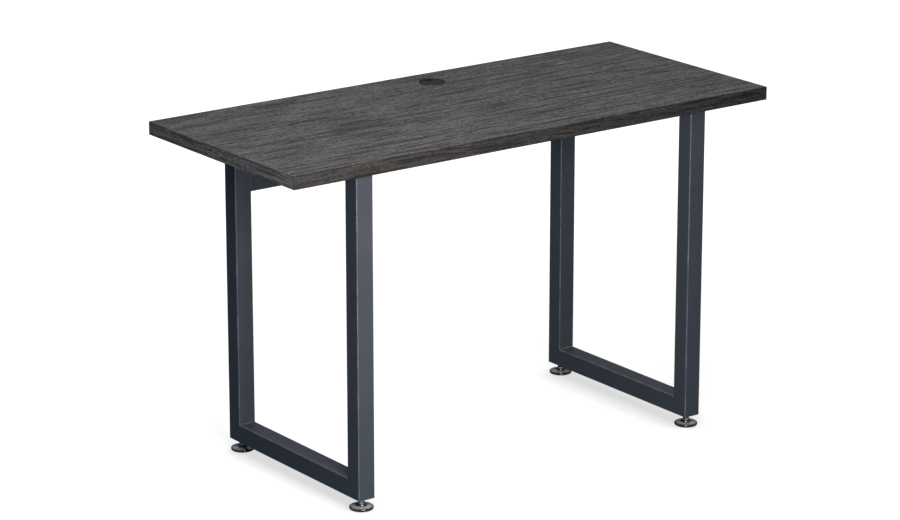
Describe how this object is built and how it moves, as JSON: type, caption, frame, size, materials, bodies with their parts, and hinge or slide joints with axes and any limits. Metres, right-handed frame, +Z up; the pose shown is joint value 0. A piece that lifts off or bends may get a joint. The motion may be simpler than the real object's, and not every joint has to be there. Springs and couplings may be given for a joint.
{
  "type": "computer desk",
  "caption": "Rectangular laminate desktop on two square-tube leg frames joined by a rear stretcher, with screw levelling feet and a capped cable grommet.",
  "frame": {"origin": "on the floor under the middle of the desktop", "axes": "+X along the desk to the right of the seated person, +Y to the rear, +Z up"},
  "size_m": [1.2192, 0.5334, 0.7388],
  "materials": {
    "desktop_laminate": "dark grey wood-grain laminate, satin, fine dark pores along the width",
    "edge_banding": "dark grey edge band with the same grain, satin",
    "frame_powder_coat": "charcoal powder coat with a blue cast, satin",
    "zinc_hardware": "bright zinc plate",
    "black_hardware": "black oxide",
    "foot_plastic": "glossy black moulded plastic",
    "grommet_plastic": "fine-textured black moulded plastic"
  },
  "bodies": {
    "desk": {"desktop_board": "desktop_laminate", "edge_band_front": "edge_banding", "edge_band_rear": "edge_banding", "edge_band_left": "edge_banding", "edge_band_right": "edge_banding", "left_front_leg": "frame_powder_coat", "left_rear_leg": "frame_powder_coat", "left_bottom_rail": "frame_powder_coat", "left_mounting_bar": "frame_powder_coat", "right_front_leg": "frame_powder_coat", "right_rear_leg": "frame_powder_coat", "right_bottom_rail": "frame_powder_coat", "right_mounting_bar": "frame_powder_coat", "rear_stretcher": "frame_powder_coat", "left_stretcher_stub": "frame_powder_coat", "left_stretcher_screw_1": "black_hardware", "left_stretcher_screw_2": "black_hardware", "left_top_screw_1": "zinc_hardware", "left_top_insert_1": "zinc_hardware", "left_top_screw_2": "zinc_hardware", "left_top_insert_2": "zinc_hardware", "left_top_screw_3": "zinc_hardware", "left_top_insert_3": "zinc_hardware", "right_stretcher_stub": "frame_powder_coat", "right_stretcher_screw_1": "black_hardware", "right_stretcher_screw_2": "black_hardware", "right_top_screw_1": "zinc_hardware", "right_top_insert_1": "zinc_hardware", "right_top_screw_2": "zinc_hardware", "right_top_insert_2": "zinc_hardware", "right_top_screw_3": "zinc_hardware", "right_top_insert_3": "zinc_hardware", "foot_nut_front_left": "zinc_hardware", "foot_nut_front_right": "zinc_hardware", "foot_nut_rear_left": "zinc_hardware", "foot_nut_rear_right": "zinc_hardware", "grommet_liner": "grommet_plastic"},
    "foot_pad_front_left": {"foot_pad_front_left": "foot_plastic"},
    "foot_stem_front_left": {"foot_stem_front_left": "zinc_hardware"},
    "foot_pad_front_right": {"foot_pad_front_right": "foot_plastic"},
    "foot_stem_front_right": {"foot_stem_front_right": "zinc_hardware"},
    "foot_pad_rear_left": {"foot_pad_rear_left": "foot_plastic"},
    "foot_stem_rear_left": {"foot_stem_rear_left": "zinc_hardware"},
    "foot_pad_rear_right": {"foot_pad_rear_right": "foot_plastic"},
    "foot_stem_rear_right": {"foot_stem_rear_right": "zinc_hardware"},
    "grommet_cap": {"grommet_cap": "grommet_plastic"},
    "grommet_shutter": {"grommet_shutter": "grommet_plastic"}
  },
  "joints": [
    {"name": "foot_front_left_height", "type": "slide", "parent": "desk", "child": "foot_pad_front_left", "axis": [0, 0, -1], "range_m": [-0.00625, 0.0125]},
    {"name": "foot_front_left_screw", "type": "hinge", "parent": "foot_pad_front_left", "child": "foot_stem_front_left", "pos_m": [-0.43145, -0.23095, 0.02], "axis": [0, 0, -1], "range_deg": [-1800, 3600]},
    {"name": "foot_front_right_height", "type": "slide", "parent": "desk", "child": "foot_pad_front_right", "axis": [0, 0, -1], "range_m": [-0.00625, 0.0125]},
    {"name": "foot_front_right_screw", "type": "hinge", "parent": "foot_pad_front_right", "child": "foot_stem_front_right", "pos_m": [0.43145, -0.23095, 0.02], "axis": [0, 0, -1], "range_deg": [-1800, 3600]},
    {"name": "foot_rear_left_height", "type": "slide", "parent": "desk", "child": "foot_pad_rear_left", "axis": [0, 0, -1], "range_m": [-0.00625, 0.0125]},
    {"name": "foot_rear_left_screw", "type": "hinge", "parent": "foot_pad_rear_left", "child": "foot_stem_rear_left", "pos_m": [-0.43145, 0.20895, 0.02], "axis": [0, 0, -1], "range_deg": [-1800, 3600]},
    {"name": "foot_rear_right_height", "type": "slide", "parent": "desk", "child": "foot_pad_rear_right", "axis": [0, 0, -1], "range_m": [-0.00625, 0.0125]},
    {"name": "foot_rear_right_screw", "type": "hinge", "parent": "foot_pad_rear_right", "child": "foot_stem_rear_right", "pos_m": [0.43145, 0.20895, 0.02], "axis": [0, 0, -1], "range_deg": [-1800, 3600]},
    {"name": "grommet_cap_lift", "type": "slide", "parent": "desk", "child": "grommet_cap", "axis": [0, 0, 1], "range_m": [0, 0.03]},
    {"name": "grommet_shutter_turn", "type": "hinge", "parent": "grommet_cap", "child": "grommet_shutter", "pos_m": [0.058, 0.193, 0.737], "axis": [0, 0, 1], "range_deg": [0, 180]}
  ],
  "couplings": [
    {"joint": "foot_front_left_screw", "follows": "foot_front_left_height", "rad_per_m": 5026.5},
    {"joint": "foot_front_right_screw", "follows": "foot_front_right_height", "rad_per_m": 5026.5},
    {"joint": "foot_rear_left_screw", "follows": "foot_rear_left_height", "rad_per_m": 5026.5},
    {"joint": "foot_rear_right_screw", "follows": "foot_rear_right_height", "rad_per_m": 5026.5}
  ]
}
